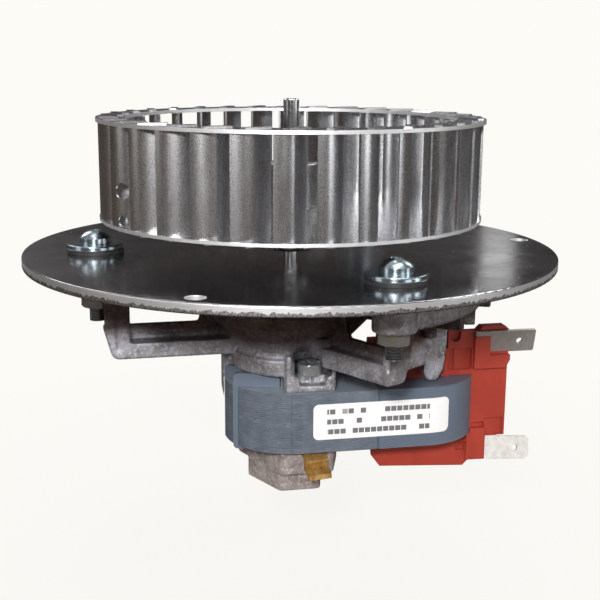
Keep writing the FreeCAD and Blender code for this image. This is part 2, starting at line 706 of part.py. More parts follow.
def arm(screw, row):
    """Angle-section arm with a post and a screw lug, built along +x and then turned."""
    bearing, side, face, ledge, width, ledge_z, near, far = row
    back = face - width
    floor = box(ARM_ROOT, near + 1, back, face, ARM_BOTTOM_Z, ledge_z)
    rib = box(ARM_ROOT, near + 1, back, face - ledge, ARM_BOTTOM_Z, ARM_RIB_Z)
    outline = [(near, ARM_BOTTOM_Z), (far - ARM_FOOT_DRAFT, ARM_BOTTOM_Z), (far, ARM_BOTTOM_Z + 8),
               (far, LUG_TOP_Z), (near, LUG_TOP_Z)]
    post = slab(outline, back, face)
    (rib_end, rib_z), (gusset_end, gusset_z) = GUSSET
    gusset = slab([(ARM_ROOT, ARM_BOTTOM_Z), (rib_end, rib_z), (gusset_end, gusset_z), (ARM_ROOT, gusset_z)],
                  back, face - ledge)
    whole = fused([floor, rib, post, gusset])
    whole = rounded(whole, ARM_FOOT_R, lambda p: abs(p.x - far + ARM_FOOT_DRAFT) < 0.01 and p.z < ledge_z)
    groove_x = (near + far) / 2 - 0.3
    groove_y = face + POST_GROOVE_R / 2
    whole = whole.cut(cylinder(POST_GROOVE_R, ledge_z - 2.0, LUG_BOTTOM_Z, groove_x, groove_y))
    if side < 0:
        whole = whole.mirror(V(), V(0, 1, 0))
    whole = turned(whole, bearing - 90)
    x, y = polar(*screw)
    middle = polar((near + far) / 2, bearing)
    bridge = bar(middle, (x, y), LUG_BRIDGE_W / 2, LUG_BOTTOM_Z, LUG_TOP_Z)
    return fused([whole, bridge, cylinder(LUG_R, LUG_BOTTOM_Z, LUG_TOP_Z, x, y)])


def clamp_foot():
    """Foot under one clamp screw, in motor axes: a notched shelf between two end ribs."""
    left, right = FOOT_U
    block = box(left, right, FOOT_FRONT_V, FOOT_BACK_V, CORE_TOP_Z, FOOT_SHELF_Z)
    ribs = [
        box(left, left + FOOT_RIB_W, FOOT_FRONT_V, FOOT_BACK_V, CORE_TOP_Z, FOOT_RIB_Z[0]),
        box(right - FOOT_RIB_W, right, FOOT_FRONT_V, FOOT_BACK_V, CORE_TOP_Z, FOOT_RIB_Z[1]),
    ]
    foot = fused([block] + ribs)
    foot = rounded(foot, 0.7, lambda p: abs(p.y - FOOT_FRONT_V) < 0.01 and p.x in FOOT_U)
    notch = box(NOTCH_U[0], NOTCH_U[1], FOOT_FRONT_V - 1, FOOT_FRONT_V + NOTCH_DEPTH, NOTCH_FLOOR_Z, 0)
    return foot.cut(notch).cut(cylinder(ROTOR_ROOM_R, CORE_TOP_Z - 1, ROTOR_ROOM_Z))


def screw_clearances():
    """Holes for the clamp screws with their driver grooves, and for the plate screws and nuts."""
    cuts = []
    for sign in (-1, 1):
        hole = cylinder(CLAMP_R + 0.15, -40, -20, sign * CLAMP_U, sign * CLAMP_V)
        access = cylinder(DRIVER_R, CLAMP_SEAT_Z, 0, sign * DRIVER_UV[0], sign * DRIVER_UV[1])
        cuts += [turned(hole), turned(access)]
    for radius, angle in SCREW_PLACES:
        x, y = polar(radius, angle)
        cuts.append(cylinder(PLATE_SCREW_R + 0.2, -40, 0, x, y))
        cuts.append(cylinder(NUT_POCKET_R, PLATE_SCREW_END_Z - NUT_POCKET_END, LUG_BOTTOM_Z, x, y))
    return cuts


def sector(first, last, low, high):
    """Upright wedge between two bearing angles."""
    points = [(0.0, 0.0)]
    for step in range(7):
        points.append(polar(90, first + (last - first) * step / 6.0))
    return prism(points, low, high)


def coil_side_structure():
    """Perimeter wall and legs on the coil side, where an arm would meet the coil."""
    inner, outer = WALL_R
    wall = tube(outer, inner, *WALL_Z).common(sector(SCREW_PLACES[1][1], SCREW_PLACES[2][1], -20, 0))
    bulge = tube(WALL_BULGE_R, inner, WALL_BULGE_Z, WALL_Z[1]).common(sector(*WALL_BULGE_SPAN, -20, 0))
    pieces = [wall, bulge, bar(*SKEW_WALL, RIB_HALF_W, *SKEW_WALL_Z)]
    for bearing in RIB_BEARINGS:
        pieces.append(bar(polar(16, bearing), polar(inner + 1, bearing), RIB_HALF_W, *RIB_Z))
    return pieces


def motor_legs():
    """Legs over the stator and the bobbin and one that locates its round end, in motor axes."""
    column = slab(COLUMN_UZ, *COLUMN_V)
    hanger = slab(HANGER_UZ, *HANGER_V)
    locating = slab(LOCATING_LEG_UZ, *LOCATING_LEG_V)
    return [column, hanger, locating, cylinder(BOSS_R, BOSS_END_Z, WALL_Z[0] + 1, *BOSS_UV)]


def dish_cavity():
    """Open dish above the flange, around the bearing housing."""
    low, high = DISH_Z
    dish = Part.makeCone(DISH_R[0] - DISH_WALL, DISH_R[1] - DISH_WALL, high - low, V(0, 0, low + DISH_WALL))
    mouth = cylinder(DISH_R[1] - DISH_WALL, high + DISH_WALL, DISH_RIM_Z + 5)
    return dish.fuse(mouth).cut(cylinder(HOUSING_R, -30, 0))


def motor_spider():
    low, high = DISH_Z
    base = rounded(cylinder(DISH_R[0], ARM_BOTTOM_Z, low), 0.8, lambda p: True)
    pieces = [
        cylinder(HUB_BASE_R, CLAMP_SEAT_Z, ARM_BOTTOM_Z + 1),
        base,
        Part.makeCone(DISH_R[0], DISH_R[1], high - low, V(0, 0, low)),
        cylinder(DISH_R[1], high, DISH_RIM_Z),
        cylinder(HOUSING_R, low, HOUSING_TOP_Z),
    ]
    for screw, row in zip(SCREW_PLACES, ARMS):
        pieces.append(arm(screw, row))
    foot = clamp_foot()
    pieces.append(turned(foot))
    pieces.append(turned(foot, MOTOR_ANGLE + 180))
    pieces += coil_side_structure()
    pieces += [turned(leg) for leg in motor_legs()]
    whole = fused(pieces)
    whole = whole.cut(dish_cavity())
    whole = whole.cut(cylinder(LOW_ROOM_R, CLAMP_SEAT_Z - 1, ROTOR_ROOM_Z))
    whole = whole.cut(bearing_cavity(BEARING_Z[0], 1, 8.0))
    whole = whole.cut(screw_clearances())
    return whole.cut(cylinder(SHAFT_R + 0.8, -25, 0))


# Cast lower bracket

def lower_bracket():
    body = fused([prism(LOW_BODY_UV, LOW_BRACKET_STEP_Z, CORE_END_Z),
                  prism(LOW_NOSE_UV, LOW_BRACKET_END_Z, LOW_BRACKET_STEP_Z)])
    heights = ((CORE_END_Z + LOW_BRACKET_STEP_Z) / 2, (LOW_BRACKET_STEP_Z + LOW_BRACKET_END_Z) / 2)
    body = rounded(body, LOW_EDGE_R, lambda p: min(abs(p.z - height) for height in heights) < 0.5)
    body = body.cut(cylinder(LOW_ROOM_R, LOW_ROOM_Z, CORE_END_Z + 1))
    body = body.cut(bearing_cavity(BEARING_Z[1], -1, 5.0))
    for sign in (-1, 1):
        body = body.cut(cylinder(CLAMP_R + GAP, CLAMP_END_Z - 0.4, -50, sign * CLAMP_U, sign * CLAMP_V))
    for path in SHADING_PATHS:
        relief = shading_ring(path, 0.3)
        body = body.cut(relief).cut(turned(relief, 180))
    return body.cut(earth_foot(GAP)).cut(earth_blade(GAP))


def bent_strip(path, thickness, x0, x1):
    """Strip of sheet that follows a path of (y, z) points."""
    pieces = []
    for (y0, z0), (y1, z1) in zip(path, path[1:]):
        leaf = box(x0, x1, 0, hypot(y1 - y0, z1 - z0), -thickness / 2, thickness / 2)
        leaf.rotate(V(), V(1, 0, 0), degrees(atan2(z1 - z0, y1 - y0)))
        leaf.translate(V(0, y0, z0))
        pieces.append(leaf)
    for y, z in path[1:-1]:
        pieces.append(Part.makeCylinder(thickness / 2, x1 - x0, V(x0, y, z), V(1, 0, 0)))
    return fused(pieces)


def earth_foot(grow=0.0):
    top = CORE_END_Z
    return box(EARTH_FOOT_U[0] - grow, EARTH_FOOT_U[1] + grow, EARTH_FOOT_V[0], EARTH_FOOT_V[1] + grow,
               top - EARTH_T - grow, top)


def earth_blade(grow=0.0):
    blade = bent_strip(EARTH_PATH, EARTH_T + 2 * grow, EARTH_BLADE_U[0] - grow, EARTH_BLADE_U[1] + grow)
    pivot = V((EARTH_BLADE_U[0] + EARTH_BLADE_U[1]) / 2, EARTH_PATH[0][0], 0)
    blade.rotate(pivot, V(0, 0, 1), EARTH_TURN)
    ceiling = box(-30, 30, -30, 0, CORE_END_Z, CORE_END_Z + 9)
    return blade.cut(ceiling)


def earth_tab():
    """Brass tab held under the front clamp screw and bent down in front of the bracket."""
    tab = fused([earth_foot(), earth_blade()])
    return tab.cut(cylinder(CLAMP_R + 0.15, -60, -40, CLAMP_U, CLAMP_V))


# Coil group, in motor axes

def loop_box(grow, v0, v1):
    """Block over the coil limb, grown outwards from the bobbin tube."""
    reach = LIMB_GAP + TUBE_WALL + grow
    return box(LIMB_INNER_U - reach, LIMB_OUTER_U + reach, v0, v1, CORE_END_Z - reach, CORE_TOP_Z + reach)


def coil_winding():
    inner = loop_box(GAP, -20, 20)
    outer = loop_box(GAP + COIL_T, -COIL_HALF_V, COIL_HALF_V)
    return rounded(outer, 3.0, lambda p: abs(p.y) < 0.01).cut(inner)


def coil_tape():
    inner = loop_box(COIL_T + TAPE_GAP, -20, 20)
    outer = loop_box(COIL_T + TAPE_GAP + TAPE_T, -COIL_HALF_V + 0.1, COIL_HALF_V - 0.1)
    inner = rounded(inner, 3.0, lambda p: abs(p.y) < 0.01)
    return rounded(outer, 3.4, lambda p: abs(p.y) < 0.01).cut(inner)


def coil_zone():
    """Space of the winding and its tape, between the flanges."""
    room = FLANGE_V - FLANGE_T
    return loop_box(COIL_T + TAPE_T + 0.1, -room, room).cut(loop_box(0.0, -20, 20))


def bobbin_cuts():
    """Hollows, notches and openings of the bobbin."""
    front = -FLANGE_V
    cuts = [box(u0, u1, front - 2, front + depth, z0, z1) for u0, u1, z0, z1, depth in HOLLOWS]
    u, z = EYE_UZ
    cuts.append(Part.makeCylinder(EYE_R, EYE_DEPTH + 1, V(u, front - 1, z), V(0, 1, 0)))
    cuts.append(box(u - EYE_R, u + EYE_R, front - 1, front + EYE_DEPTH, z, z + 4))
    cuts.append(slab(SHADE_NOTCH_UZ, front - 1, front + SHADE_NOTCH_DEPTH))
    return cuts


def coil_bobbin():
    body = fused([
        loop_box(0.0, -FLANGE_V, FLANGE_V),
        slab(FRONT_FLANGE_UZ, -FLANGE_V, -FLANGE_V + FLANGE_T),
        slab(BACK_FLANGE_UZ, FLANGE_V - FLANGE_T, FLANGE_V),
        slab(TOP_BLOCK_UZ, *TOP_BLOCK_V),
        box(*LOW_BLOCK),
        box(*SIDE_WALL),
    ])
    body = body.cut(bobbin_cuts()).fuse(box(*HOLLOW_RIB))
    body = body.cut(loop_box(-TUBE_WALL, -20, 20))
    body = body.cut(lower_spade(GAP)).cut(upper_spade(GAP, 3.0))
    return body.cut(coil_zone())


def upper_spade(grow=0.0, forward=0.0):
    """Line spade: a narrow root strip that widens to the 6.3 mm blade. Its face looks down a little."""
    plate = slab(UPPER_SPADE_UZ, -SPADE_T / 2 - grow - forward, SPADE_T / 2 + grow)
    if grow == 0.0:
        u, z = UPPER_SPADE_HOLE
        plate = plate.cut(Part.makeCylinder(SPADE_HOLE_R, 9, V(u, -4, z), V(0, 1, 0)))
    plate.rotate(V(), V(1, 0, 0), UPPER_SPADE_TILT)
    plate.translate(V(0, *UPPER_SPADE_MIDDLE))
    return plate


def lower_spade(grow=0.0):
    """Neutral spade. Its face looks up a little and it slopes down towards its end."""
    plate = slab(LOWER_SPADE_UZ, -SPADE_T / 2 - grow, SPADE_T / 2 + grow)
    if grow == 0.0:
        u, z = LOWER_SPADE_HOLE
        plate = plate.cut(Part.makeCylinder(SPADE_HOLE_R, 9, V(u, -4, z), V(0, 1, 0)))
    plate.rotate(V(BLADE_LEFT_U, 0, 0), V(0, 1, 0), LOWER_SPADE_SLOPE)
    plate.rotate(V(), V(1, 0, 0), LOWER_SPADE_TILT)
    plate.translate(V(0, *LOWER_SPADE_MIDDLE))
    return plate


def main():
    save("mounting_plate", mounting_plate())
    places = [polar(radius, angle) for radius, angle in SCREW_PLACES]
    save("plate_grommets", *[grommet(x, y) for x, y in places])
    save("spacer_sleeves", *[sleeve(x, y) for x, y in places])
    save("plate_washers", *[washer(x, y) for x, y in places])
    save("plate_screws", *[plate_screw(x, y) for x, y in places])
    save("plate_nuts", *[nut(x, y, NUT_TURN) for x, y in places])
    save("motor_spider", motor_spider())
    save("lower_bracket", turned(lower_bracket()))
    save("pole_stack", turned(pole_stack()))
    save("yoke_stack", turned(yoke_stack()))
    save("front_shading_rings", *shading_rings(0))
    save("rear_shading_rings", *shading_rings(180))
    save("clamp_screws", turned(clamp_screw(1)), turned(clamp_screw(-1)))
    save("rating_label", turned(rating_label()))
    save("earth_tab", turned(earth_tab()))
    save("coil_bobbin", turned(coil_bobbin()))
    save("coil_winding", turned(coil_winding()))
    save("coil_tape", turned(coil_tape()))
    save("upper_spade", turned(upper_spade()))
    save("lower_spade", turned(lower_spade()))
    for name, centre, side in (("upper", BEARING_Z[0], 1), ("lower", BEARING_Z[1], -1)):
        save(name + "_bearing", bearing_bush(centre))
        save(name + "_bearing_retainer", bearing_retainer(centre, side))
        save(name + "_bearing_felt", bearing_felt(centre, side))
    save("rotor_shaft", rotor_shaft())
    save("rotor_core", rotor_core())
    save("rotor_cage", rotor_cage())
    save("rotor_spacers", *rotor_spacers())
    save("impeller_hub", impeller_hub())
    save("hub_grub_screw", grub_screw())
    save("impeller_back_plate", back_plate())
    save("impeller_blades", *[blade(index) for index in range(BLADE_COUNT)])
    save("impeller_top_ring", top_ring())


main()
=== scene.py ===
from math import cos, radians, sin

import bmesh
import bpy
from mathutils import Matrix, Vector


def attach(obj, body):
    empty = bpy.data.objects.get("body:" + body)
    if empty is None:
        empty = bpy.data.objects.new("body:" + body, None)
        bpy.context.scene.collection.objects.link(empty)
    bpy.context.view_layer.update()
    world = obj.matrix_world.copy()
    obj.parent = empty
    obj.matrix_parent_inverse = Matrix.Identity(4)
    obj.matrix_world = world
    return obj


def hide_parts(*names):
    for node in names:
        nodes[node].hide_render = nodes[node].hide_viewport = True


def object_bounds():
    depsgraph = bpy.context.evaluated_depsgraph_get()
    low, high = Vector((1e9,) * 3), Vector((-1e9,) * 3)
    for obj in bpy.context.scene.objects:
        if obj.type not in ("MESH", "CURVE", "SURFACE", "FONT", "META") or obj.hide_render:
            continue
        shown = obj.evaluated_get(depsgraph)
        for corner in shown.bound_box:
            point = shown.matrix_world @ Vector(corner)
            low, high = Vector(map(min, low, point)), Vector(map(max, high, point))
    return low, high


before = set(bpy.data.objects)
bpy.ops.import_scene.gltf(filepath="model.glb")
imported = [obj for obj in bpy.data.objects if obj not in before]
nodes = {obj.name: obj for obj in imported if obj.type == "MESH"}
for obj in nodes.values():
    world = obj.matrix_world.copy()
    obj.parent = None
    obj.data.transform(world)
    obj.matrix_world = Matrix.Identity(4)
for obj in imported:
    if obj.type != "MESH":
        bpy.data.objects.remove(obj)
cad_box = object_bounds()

# Looks of a boiler's combustion fan: finishes, light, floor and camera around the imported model.
# The origin is where the shaft axis crosses the top of the mounting plate, and -Y is the front.
# Sizes of finishes and CAD features are in millimetres; lights, floor and camera are in metres.

MM = 0.001
MOTOR_ANGLE = radians(11.3)       # the stator's long axis is turned this far from +X
LAMINATION = 0.53               # millimetres, thirty of them make the stack
STACK_Z = (-50.5, -34.6)
PLATE_T = 2.5
TORN_SHARE = 0.62               # of the plate's thickness is cut clean, the rest is torn
THREAD_TOP = -4.9               # the plate screws are plain above this height
LABEL_LOW = -46.3               # foot of the lowest row of bars
LABEL_PITCH = 2.65
LABEL_ENDS = (6.2, 33.6)        # along the motor's axis
PLATE_SHADE_REACH = (33.0, 41.0)      # the painted shade under the plate sits lower from the first radius to the second
FLOOR_GAP = 0.03

PALE = (0.977, 0.965, 0.925)
WHITE = (1.0, 1.0, 1.0)


class Graph:
    """The shader nodes of one material, made with short calls. Sizes are in millimetres."""

    def __init__(self, name):
        self.material = bpy.data.materials.new(name)
        self.material.use_nodes = True
        self.tree = self.material.node_tree
        self.tree.nodes.clear()
        self.surface = self.add("ShaderNodeBsdfPrincipled")
        output = self.add("ShaderNodeOutputMaterial")
        self.tree.links.new(self.surface.outputs[0], output.inputs["Surface"])
        self.place = self.add("ShaderNodeTexCoord").outputs["Object"]

    def add(self, kind, **settings):
        node = self.tree.nodes.new(kind)
        for key, value in settings.items():
            setattr(node, key, value)
        return node

    def set(self, node, name, value):
        """Links a socket, or sets a plain value, on an input."""
        socket = node.inputs[name]
        if isinstance(value, bpy.types.NodeSocket):
            self.tree.links.new(value, socket)
        elif isinstance(value, tuple) and len(value) == 3 and socket.type == "RGBA":
            socket.default_value = value + (1.0,)
        else:
            socket.default_value = value

    def finish(self, **inputs):
        for key, value in inputs.items():
            self.set(self.surface, key.replace("_", " "), value)
        return self.material

    def mapped(self, scale=(1, 1, 1), turn=0.0):
        node = self.add("ShaderNodeMapping")
        self.set(node, "Vector", self.place)
        node.inputs["Rotation"].default_value = (0, 0, turn)
        node.inputs["Scale"].default_value = tuple(s / MM for s in scale)
        return node.outputs["Vector"]

    def noise(self, size, detail=3.0, stretch=(1, 1, 1), turn=0.0, rough=0.55):
        """Blobs of about size millimetres, longer along an axis whose stretch is above 1."""
        node = self.add("ShaderNodeTexNoise")
        node.inputs["Scale"].default_value = 1.0 / size
        node.inputs["Detail"].default_value = detail
        node.inputs["Roughness"].default_value = rough
        self.set(node, "Vector", self.mapped(tuple(1.0 / s for s in stretch), turn))
        return node.outputs["Fac"]

    def cells(self, size):
        node = self.add("ShaderNodeTexVoronoi", feature="F1")
        node.inputs["Scale"].default_value = 1.0 / size
        self.set(node, "Vector", self.mapped())
        return node.outputs["Distance"]

    def ramp(self, value, *stops):
        """Colour or grey ramp from (position, grey or colour) stops."""
        node = self.add("ShaderNodeValToRGB")
        elements = node.color_ramp.elements
        while len(elements) < len(stops):
            elements.new(0.5)
        for element, (position, colour) in zip(elements, stops):
            element.position = position
            if isinstance(colour, (int, float)):
                colour = (colour, colour, colour)
            element.color = tuple(colour) + (1.0,)
        self.set(node, "Fac", value)
        return node.outputs["Color"]

    def range(self, value, low, high, to_low=0.0, to_high=1.0):
        node = self.add("ShaderNodeMapRange")
        ends = {"From Min": low, "From Max": high, "To Min": to_low, "To Max": to_high}
        for name, number in ends.items():
            node.inputs[name].default_value = number
        self.set(node, "Value", value)
        return node.outputs["Result"]

    def mix(self, factor, a, b, blend="MIX"):
        node = self.add("ShaderNodeMix", data_type="RGBA", blend_type=blend)
        for index, value in ((0, factor), (6, a), (7, b)):
            if isinstance(value, bpy.types.NodeSocket):
                self.tree.links.new(value, node.inputs[index])
            elif isinstance(value, tuple):
                node.inputs[index].default_value = value + (1.0,)
            else:
                node.inputs[index].default_value = value
        return node.outputs[2]

    def math(self, operation, a, b=0.0):
        node = self.add("ShaderNodeMath", operation=operation)
        for index, value in enumerate((a, b)):
            if isinstance(value, bpy.types.NodeSocket):
                self.tree.links.new(value, node.inputs[index])
            else:
                node.inputs[index].default_value = value
        return node.outputs[0]

    def axis(self, vector, name):
        node = self.add("ShaderNodeSeparateXYZ")
        self.tree.links.new(vector, node.inputs[0])
        return node.outputs[name]

    def height(self):
        """Height above the plate's top face, in millimetres."""
        return self.math("DIVIDE", self.axis(self.place, "Z"), MM)

    def along_motor(self, name):
        """Distance along (X) or across (Y) the stator's long axis, in millimetres."""
        return self.axis(self.mapped(turn=-MOTOR_ANGLE), name)

    def radius(self):
        """Distance from the shaft axis, in metres."""
        squares = []
        for name in ("X", "Y"):
            along = self.axis(self.place, name)
            squares.append(self.math("MULTIPLY", along, along))
        return self.math("SQRT", self.math("ADD", squares[0], squares[1]))

    def normal_z(self):
        geometry = self.add("ShaderNodeNewGeometry")
        return self.axis(geometry.outputs["Normal"], "Z")

    def upright(self, low, high):
        """1 on walls and 0 on level faces, changing between two sizes of the normal's Z."""
        return self.range(self.math("ABSOLUTE", self.normal_z()), low, high, 1.0, 0.0)

    def bevel(self, radius):
        node = self.add("ShaderNodeBevel", samples=6)
        node.inputs["Radius"].default_value = radius * MM
        return node.outputs["Normal"]

    def bump(self, height, depth, normal=None):
        """Bump of about depth millimetres."""
        node = self.add("ShaderNodeBump")
        node.inputs["Strength"].default_value = 1.0
        node.inputs["Distance"].default_value = depth * MM
        self.set(node, "Height", height)
        if normal is not None:
            self.set(node, "Normal", normal)
        return node.outputs["Normal"]


# Finishes

def polished_sheet():
    """Bright rolled aluminium with smears, hairlines and dust, and a sheared rim."""
    g = Graph("polished_sheet")
    smear = g.noise(14, 3)
    hair = g.noise(0.25, 2, stretch=(40, 1, 1), turn=0.4)
    speck = g.range(g.cells(2.3), 0.04, 0.08, 1.0, 0.0)
    rare = g.range(g.noise(5.0, 1), 0.52, 0.56)
    dust = g.math("MULTIPLY", speck, rare)
    tone = g.ramp(smear, (0.3, (0.46, 0.45, 0.46)), (0.7, (0.62, 0.62, 0.63)))
    face = g.mix(dust, tone, (0.95, 0.95, 0.95))
    rim = g.upright(0.3, 0.75)
    jag = g.noise(1.1, 3, stretch=(1, 1, 3))
    border = g.math("ADD", g.height(), g.range(jag, 0.3, 0.7, -0.45, 0.45))
    tear = -TORN_SHARE * PLATE_T
    torn = g.range(border, tear - 0.12, tear + 0.12, 1.0, 0.0)
    grain = g.noise(0.35, 3)
    break_face = g.ramp(grain, (0.35, (0.10, 0.09, 0.085)), (0.65, (0.50, 0.48, 0.47)))
    cut = g.mix(torn, (0.86, 0.86, 0.86), break_face)
    colour = g.mix(rim, face, cut)
    rough = g.math("ADD", g.range(smear, 0.3, 0.7, 0.09, 0.17), g.range(hair, 0.3, 0.7, 0.0, 0.05))
    rough = g.math("MAXIMUM", rough, g.math("MULTIPLY", dust, 0.8))
    rough = g.math("MAXIMUM", rough, g.math("MULTIPLY", rim, 0.5))
    relief = g.math("ADD", g.math("MULTIPLY", hair, 0.08), g.math("MULTIPLY", rim, grain))
    normal = g.bump(relief, 0.05, g.bevel(0.25))
    return g.finish(Base_Color=colour, Metallic=1.0, Roughness=rough, Normal=normal)


def brushed_sheet(name, tone=0.62, rough=0.25, streak=0.09):
    """Drawn aluminium strip with an upright grain, a few stains and fine speckle."""
    g = Graph(name)
    grain = g.noise(streak, 2, stretch=(1, 1, 70))
    broad = g.noise(1.6, 2, stretch=(1, 1, 12))
    speckle = g.noise(0.22, 3, rough=0.7)
    stain = g.noise(5.0, 3, stretch=(1, 1, 2))
    streaks = g.mix(0.5, grain, broad)
    colour = g.ramp(streaks, (0.3, (tone * 0.90, tone * 0.90, tone * 0.92)),
                    (0.7, (tone * 1.06, tone * 1.06, tone * 1.08)))
    colour = g.mix(g.range(speckle, 0.52, 0.68, 0.0, 0.22), colour, (0.95, 0.95, 0.97))
    colour = g.mix(g.range(stain, 0.56, 0.72, 0.0, 0.35), colour, (0.34, 0.28, 0.24))
    roughness = g.math("ADD", g.range(grain, 0.3, 0.7, rough - 0.01, rough + 0.02),
                       g.range(speckle, 0.4, 0.7, 0.0, 0.08))
    normal = g.bump(g.mix(0.95, grain, speckle), 0.006)
    return g.finish(Base_Color=colour, Metallic=1.0, Roughness=roughness, Normal=normal)


def sheared_edge_sheet():
    """Stamped aluminium ring: satin faces and a bright, rough sheared edge."""
    g = Graph("stamped_sheet")
    upright = g.upright(0.3, 0.7)
    burr = g.noise(0.5, 3, stretch=(1, 1, 0.5))
    face = g.ramp(g.noise(3, 3), (0.3, (0.5, 0.5, 0.51)), (0.7, (0.68, 0.68, 0.69)))
    colour = g.mix(upright, face, (0.93, 0.93, 0.93))
    rough = g.math("ADD", g.range(upright, 0, 1, 0.24, 0.5), g.range(burr, 0.3, 0.7, -0.05, 0.08))
    return g.finish(Base_Color=colour, Metallic=1.0, Roughness=rough,
                    Normal=g.bump(burr, 0.02, g.bevel(0.12)))


def zinc_plate(name="zinc_plate", tint=(0.58, 0.67, 0.72), gold=0.0, metallic=1.0, thread=0.0):
    """Bright zinc plating with a blue or yellow bloom; thread is the pitch of a screw thread."""
    g = Graph(name)
    bloom = g.noise(1.6, 2)
    grain = g.noise(0.12, 3)
    colour = g.ramp(bloom, (0.35, tint), (0.65, tuple(c * 0.8 for c in tint)))
    if gold:
        colour = g.mix(g.range(bloom, 0.42, 0.6, 0.0, gold), colour, (0.72, 0.56, 0.28))
    rough = g.math("ADD", g.range(bloom, 0.3, 0.7, 0.12, 0.2),
                   g.range(grain, 0.3, 0.7, 0.0, 0.08))
    normal = g.bump(grain, 0.006, g.bevel(0.15))
    if thread:
        height = g.height()
        flank = g.math("PINGPONG", g.math("DIVIDE", height, thread), 0.5)
        threaded = g.range(height, THREAD_TOP - 0.2, THREAD_TOP, 1.0, 0.0)
        cut = g.math("MULTIPLY", flank, threaded)
        normal = g.bump(cut, 0.6, normal)
    return g.finish(Base_Color=colour, Metallic=metallic, Roughness=rough, Normal=normal)


def cast_aluminium(name, metallic, tint):
    """Die casting: grey pitted skin, brighter worn ridges, and painted shade where the plate's
    shadow falls on the parts under it.
    """
    g = Graph(name)
    stain = g.noise(5.0, 4)
    pits = g.noise(0.28, 4, rough=0.7)
    worn = g.noise(0.9, 3)
    colour = g.ramp(stain, (0.3, (0.28, 0.255, 0.245)), (0.5, (0.48, 0.465, 0.465)),
                    (0.72, (0.68, 0.675, 0.69)))
    colour = g.mix(g.range(worn, 0.50, 0.66, 0.0, 0.65), colour, (0.88, 0.88, 0.92))
    colour = g.mix(g.range(pits, 0.28, 0.40, 0.55, 0.0), colour, (0.08, 0.065, 0.055))
    colour = g.mix(1.0, colour, tint, "MULTIPLY")
    height = g.height()
    reach = g.math("DIVIDE", g.radius(), MM)
    # Painted shade: the casting is darkened near the plate's underside to stand in for the plate's
    # shadow, with an uneven border.
    edge = g.math("ADD", height, g.range(stain, 0.3, 0.7, -1.0, 1.0))
    edge = g.math("SUBTRACT", edge, g.range(reach, *PLATE_SHADE_REACH, 0.0, 2.6))
    plate_shade = g.math("MULTIPLY", g.range(edge, -24.5, -21.0),
                   g.range(height, -13.0, -11.0, 1.0, 0.4))
    colour = g.mix(plate_shade, colour, (0.24, 0.18, 0.155), "MULTIPLY")
    rough = g.math("ADD", g.range(worn, 0.3, 0.7, 0.48, 0.24),
                   g.range(pits, 0.3, 0.7, 0.0, 0.12))
    return g.finish(Base_Color=colour, Metallic=metallic, Roughness=rough,
                    Normal=g.bump(pits, 0.14))


def painted_stack():
    """Blue-grey enamel on the laminations: streaks, pinholes and thin paint in the joints."""
    g = Graph("painted_laminations")
    height = g.math("DIVIDE", g.axis(g.place, "Z"), MM * LAMINATION)
    phase = g.math("FRACT", g.math("SUBTRACT", height, STACK_Z[0] / LAMINATION))
    seam = g.range(g.math("PINGPONG", phase, 0.5), 0.0, 0.18, 1.0, 0.0)
    cloud = g.noise(4.0, 3)
    fine = g.noise(0.35, 4, stretch=(5, 5, 1), rough=0.65)
    gap = g.range(g.noise(3.0, 2, stretch=(3, 3, 0.4)), 0.36, 0.56)
    pin = g.math("MULTIPLY", g.range(g.cells(1.5), 0.07, 0.13, 1.0, 0.0),
                 g.range(g.noise(4, 2), 0.44, 0.50))
    colour = g.ramp(cloud, (0.3, (0.098, 0.120, 0.152)), (0.7, (0.145, 0.170, 0.208)))
    colour = g.mix(g.range(fine, 0.5, 0.8, 0.0, 0.55), colour, (0.27, 0.30, 0.34))
    side = g.upright(0.3, 0.6)
    joint = g.math("MULTIPLY", g.math("MULTIPLY", side, seam), gap)
    colour = g.mix(joint, colour, (0.035, 0.042, 0.055))
    colour = g.mix(pin, colour, (0.02, 0.02, 0.025))
    # Painted light: faces that look upward are drawn lighter than the rest of the paint.
    colour = g.mix(g.range(g.normal_z(), 0.8, 0.95, 0.0, 0.6), colour, (0.34, 0.38, 0.42))
    normal = g.bump(fine, 0.03, g.bevel(0.3))
    rough = g.range(cloud, 0.3, 0.7, 0.36, 0.48)
    return g.finish(Base_Color=colour, Roughness=rough, Normal=normal)


def paper_label():
    """Satin label with rows of plain dark bars in place of print."""
    g = Graph("paper_label")
    tooth = g.noise(0.3, 3)
    paper = g.ramp(tooth, (0.3, (0.90, 0.91, 0.91)), (0.7, (0.95, 0.95, 0.94)))
    along = g.along_motor("X")
    row = g.math("DIVIDE", g.math("SUBTRACT", g.height(), LABEL_LOW), LABEL_PITCH)
    line = g.math("FLOOR", row)
    inside = g.range(g.math("PINGPONG", g.math("FRACT", row), 0.5), 0.23, 0.27)
    step = g.math("ADD", g.math("MULTIPLY", along, 0.62), g.math("MULTIPLY", line, 0.37))
    dice = g.add("ShaderNodeTexWhiteNoise", noise_dimensions="2D")
    pair = g.add("ShaderNodeCombineXYZ")
    g.set(pair, "X", g.math("FLOOR", step))
    g.set(pair, "Y", line)
    g.set(dice, "Vector", pair.outputs[0])
    filled = g.range(dice.outputs["Value"], 0.30, 0.31)
    word = g.range(g.math("PINGPONG", g.math("FRACT", step), 0.5), 0.05, 0.09)
    left, right = LABEL_ENDS
    ends = g.math("MULTIPLY", g.range(along, left, left + 0.1),
                  g.range(along, right - 0.1, right, 1.0, 0.0))
    rows = g.math("MULTIPLY", g.range(line, -0.6, -0.4), g.range(line, 2.4, 2.6, 1.0, 0.0))
    print_area = g.math("MULTIPLY", ends, rows)
    ink = g.math("MULTIPLY", g.math("MULTIPLY", inside, filled),
                 g.math("MULTIPLY", word, print_area))
    colour = g.mix(g.math("MULTIPLY", ink, 0.92), paper, (0.10, 0.10, 0.11))
    return g.finish(Base_Color=colour, Roughness=0.38, Normal=g.bump(tooth, 0.004))


